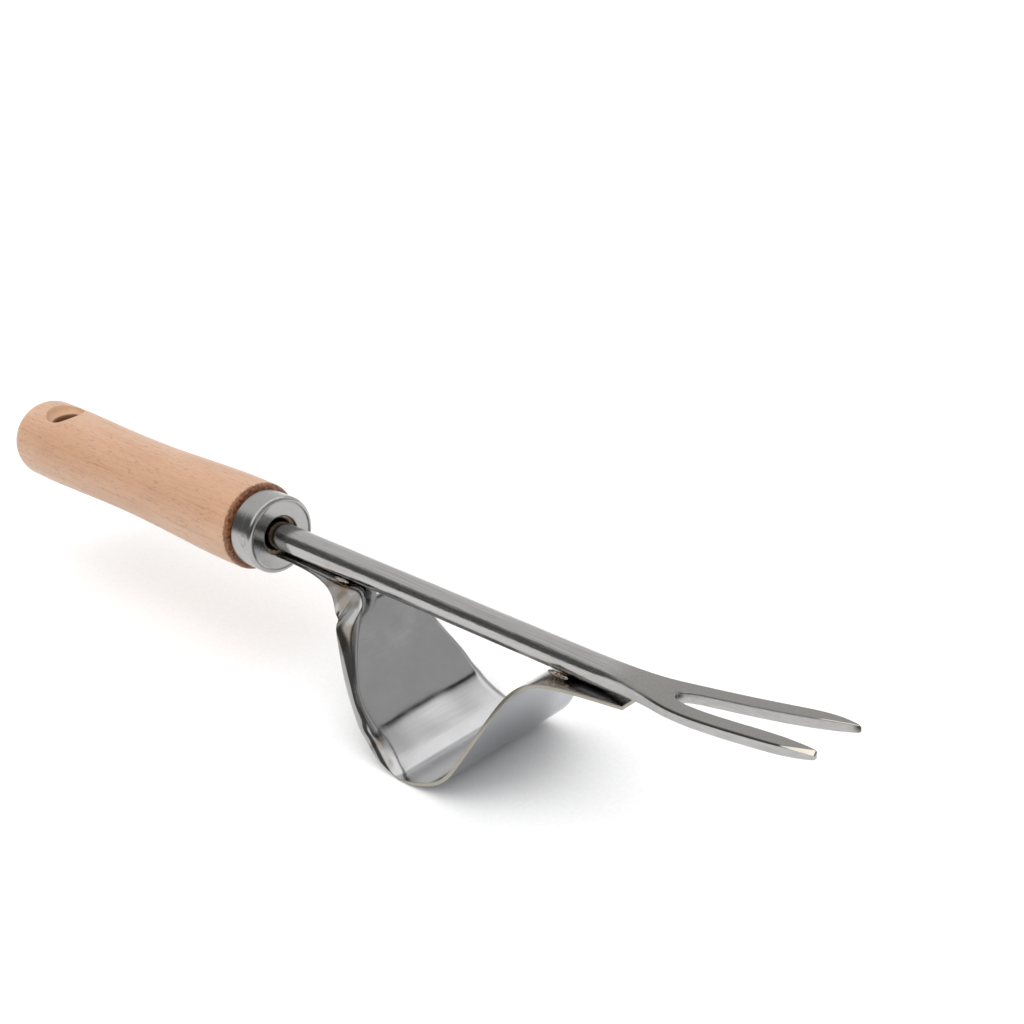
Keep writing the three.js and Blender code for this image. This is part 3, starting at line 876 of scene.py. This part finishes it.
def rod_material():
    """Drawn steel with long streaks, duller and rougher where the blade was forged."""
    n = new_material("forged_steel")
    streaks = n.noise(n.place((45, 3600, 3600)), detail=3, roughness=0.6)
    waves = n.noise(n.place((120, 420, 420)), detail=2)
    scratches = n.noise(n.place((260, 5200, 5200)), detail=5, roughness=0.75)
    cross = n.noise(n.place((2600, 900, 900)), detail=5, roughness=0.7)
    blotch = n.noise(n.place((500, 900, 900)), detail=3)
    blade = n.range(n.axes()[0], frame_x(124), frame_x(134))

    dark, light, dull = (0.385, 0.378, 0.37), (0.475, 0.468, 0.46), (0.31, 0.3, 0.288)
    tip_highlight_cream, tip_highlight_metallic = (0.78, 0.72, 0.62), 0.25
    colour = n.mix(n.range(streaks, 0.3, 0.7), dark, light)
    colour = n.mix(n.range(waves, 0.55, 0.8, 0, 0.35), colour, dull)
    colour = heat_marks(n, colour, n.range(blotch, 0.45, 0.65, 0.1, 0.9), (-4, 0), (5.5, 6.5))
    colour = blade_looks(n, colour, blade, cross)
    # Painted highlight: the ground flats on the tips get a pale cream colour that is mostly not
    # metallic.
    ground = ground_tip(n)
    colour = n.mix(ground, colour, tip_highlight_cream)
    metallic = n.range(ground, 0, 1, 1, tip_highlight_metallic, smooth=False)
    n.link(metallic, n.shader.inputs["Metallic"])

    bar_roughness, blade_roughness = 0.17, 0.33
    worn = n.range(blade, 0, 1, bar_roughness, blade_roughness, smooth=False)
    worn = n.math("ADD", worn, n.range(scratches, 0.35, 0.75, -0.04, 0.12))
    normal = n.bump(streaks, 0.18, 0.00004)
    normal = n.bump(waves, 0.35, 0.00025, normal)
    normal = n.bump(n.multiply(cross, blade), 0.25, 0.00006, normal)
    return n.finish(colour, worn, normal)


def plate_material():
    """Polished sheet: shaded underneath, painted grey and brown reflections on its wings,
    heat-marked by the welds, and dull along its cut edge, which is tinted cream as a painted
    highlight."""
    n = new_material("polished_sheet")
    rolling = n.noise(n.place((35, 55, 35)), detail=1)
    brushing = n.noise(n.place((3200, 90, 3200)), detail=4, roughness=0.65)
    haze = n.noise(n.place((110, 110, 110)), detail=4, roughness=0.6)
    stripes = n.noise(n.place((190, 190, 60)), detail=2)
    blotch = n.noise(n.place((260, 320, 320)), detail=2)
    x, _, z = n.axes()
    facing_x, facing_y, facing_z = n.facing()

    dark, light = (0.45, 0.45, 0.455), (0.49, 0.49, 0.495)
    shade_low, shade_high = (0.25, 0.26, 0.285), (0.46, 0.47, 0.49)
    wing_reflection_grey, wing_reflection_brown, cut_edge_cream_highlight = (0.2, 0.19, 0.18), (0.16, 0.12, 0.085), (0.38, 0.35, 0.295)
    colour = n.mix(n.range(haze, 0.3, 0.7), dark, light)
    under = n.multiply(n.range(facing_z, 0.05, -0.25), n.range(facing_x, 0.1, 0.45))
    shade = n.mix(n.range(z, GROUND_Z, AXIS_Z - 0.008), shade_low, shade_high)
    colour = n.mix(under, colour, shade)
    # Painted reflections: grey, with brown streaks, on the sideways-facing wings of the rear leg.
    sideways = n.range(n.math("ABSOLUTE", facing_y), 0.2, 0.4)
    wing = n.multiply(sideways, n.range(x, frame_x(64), frame_x(60)))
    colour = n.mix(n.multiply(wing, 0.45), colour, wing_reflection_grey)
    wing_reflection_streaks = n.multiply(wing, n.range(stripes, 0.42, 0.62, 0, 0.6))
    colour = n.mix(wing_reflection_streaks, colour, wing_reflection_brown)
    colour = heat_marks(n, colour, n.range(blotch, 0.38, 0.62, 0.15, 0.85), (1, -1), (6, 7))
    # The dull cut edge is tinted cream as a painted highlight.
    cut = n.add("ShaderNodeAttribute", attribute_name="cut_edge").outputs["Fac"]
    colour = n.mix(cut, colour, cut_edge_cream_highlight)

    roughness = n.range(n.math("ADD", haze, brushing), 0.75, 1.25, 0.09, 0.2)
    roughness = n.math("ADD", roughness, n.multiply(cut, 0.25))
    normal = n.bump(rolling, 0.5, 0.0012)
    normal = n.bump(brushing, 0.08, 0.00002, normal)
    return n.finish(colour, roughness, normal, metallic=1.0)


def resin_material():
    """Set adhesive, nearly black, with brown lumps."""
    n = new_material("resin")
    lumps = n.noise(n.place((1500, 1500, 1500)), detail=4)
    black, brown = (0.012, 0.008, 0.006), (0.06, 0.035, 0.02)
    colour = n.mix(n.range(lumps, 0.35, 0.7), black, brown)
    return n.finish(colour, n.range(lumps, 0.3, 0.7, 0.35, 0.7), n.bump(lumps, 0.5, 0.0003))


def weld_material():
    """Weld metal, lumpy and partly brown from the heat."""
    n = new_material("weld_metal")
    lumps = n.noise(n.place((1400, 1400, 1400)), detail=4)
    tint = n.noise(n.place((380, 380, 380)), detail=2)
    dark, light, brown = (0.3, 0.27, 0.24), (0.62, 0.6, 0.56), (0.22, 0.13, 0.07)
    colour = n.mix(n.range(lumps, 0.35, 0.65), dark, light)
    colour = n.mix(n.range(tint, 0.45, 0.65, 0, 0.7), colour, brown)
    return n.finish(colour, n.range(lumps, 0.3, 0.7, 0.2, 0.45), n.bump(lumps, 0.4, 0.0003),
                    metallic=1.0)


# ---------------------------------------------------------------- studio

def make_camera():
    azimuth, elevation, roll = map(math.radians,
                                   (CAMERA_AZIMUTH, CAMERA_ELEVATION, CAMERA_ROLL))
    back = Vector((math.sin(azimuth) * math.cos(elevation),
                   -math.cos(azimuth) * math.cos(elevation), math.sin(elevation)))
    level = Vector((math.cos(azimuth), math.sin(azimuth), 0))
    rise = back.cross(level)
    right = level * math.cos(roll) + rise * math.sin(roll)
    up = back.cross(right)
    turn = Matrix((right, up, back)).transposed().to_4x4()
    camera = bpy.data.objects.new("camera", bpy.data.cameras.new("camera"))
    camera.data.lens = CAMERA_LENS
    camera.data.sensor_width = CAMERA_SENSOR
    camera.matrix_world = Matrix.Translation(Vector(to_frame(CAMERA_PLACE))) @ turn
    bpy.context.scene.collection.objects.link(camera)
    bpy.context.scene.camera = camera


def make_floor():
    """A wide sheet of white paper just under the tool."""
    mesh = bpy.data.meshes.new("floor")
    corners = [(FLOOR_REACH * x, FLOOR_REACH * y) for x, y in ((-1, -1), (1, -1), (1, 1), (-1, 1))]
    mesh.from_pydata([(x, y, GROUND_Z - FLOOR_GAP) for x, y in corners], [], [(0, 1, 2, 3)])
    floor = bpy.data.objects.new("floor", mesh)
    n = new_material("floor")
    paper = n.noise(n.place((900, 900, 900)), detail=3)
    grey, white = (0.9, 0.9, 0.9), (0.93, 0.93, 0.93)
    colour = n.mix(n.range(paper, 0.3, 0.7), grey, white)
    floor.data.materials.append(n.finish(colour))
    n.shader.inputs["Roughness"].default_value = 0.9
    n.shader.inputs["Specular IOR Level"].default_value = 0.1
    bpy.context.scene.collection.objects.link(floor)


def make_world():
    """A tent of light: bright overhead and behind, dim in front where y is most negative, with a
    brighter patch and a dark seam overhead, and a dimmer right side."""
    world = bpy.data.worlds.new("studio")
    bpy.context.scene.world = world
    n = Nodes(world, "Background")
    x, y, z = n.parts(n.add("ShaderNodeTexCoord").outputs["Generated"])
    dim, bright, patch, dark, right = 0.12, 0.85, 1.7, 0.04, 0.62

    behind = n.range(y, -0.45, -0.2)
    above = n.range(z, 0.5, 0.64)
    level = n.range(n.math("MAXIMUM", behind, above), 0, 1, dim, bright, smooth=False)
    overhead = n.range(z, 0.45, 0.6)
    glow = n.multiply(n.range(x, 0.36, 0.24), n.range(x, -0.5, -0.35), overhead)
    seam = n.multiply(n.range(x, 0.53, 0.46), n.range(x, 0.26, 0.42), overhead)
    level = n.multiply(level, n.range(glow, 0, 1, 1, patch, smooth=False))
    level = n.multiply(level, n.range(seam, 0, 1, 1, dark, smooth=False))
    level = n.multiply(level, n.range(x, 0.42, 0.54, 1, right))
    n.link(level, n.shader.inputs["Strength"])
    n.shader.inputs["Color"].default_value = (1, 1, 1, 1)


def make_light(name, direction, spread, energy):
    """A wide distant lamp; it lights the wood and the floor but leaves no spot in the steel."""
    light = bpy.data.lights.new(name, "SUN")
    light.angle = math.radians(spread)
    light.energy = energy
    lamp = bpy.data.objects.new(name, light)
    lamp.visible_glossy = False
    lamp.rotation_euler = (-Vector(direction)).to_track_quat("-Z", "Y").to_euler()
    bpy.context.scene.collection.objects.link(lamp)


def make_studio():
    make_floor()
    make_world()
    make_light("key", direction=(0.45, -0.45, 0.77), spread=80, energy=1.9)
    bpy.context.scene.view_settings.view_transform = "Standard"


make_camera()
make_handle()
make_ferrule()
make_resin()
make_fork_rod()
make_plate()
for weld in WELDS:
    make_weld(weld, "left", 1)
    make_weld(weld, "right", -1)
make_studio()
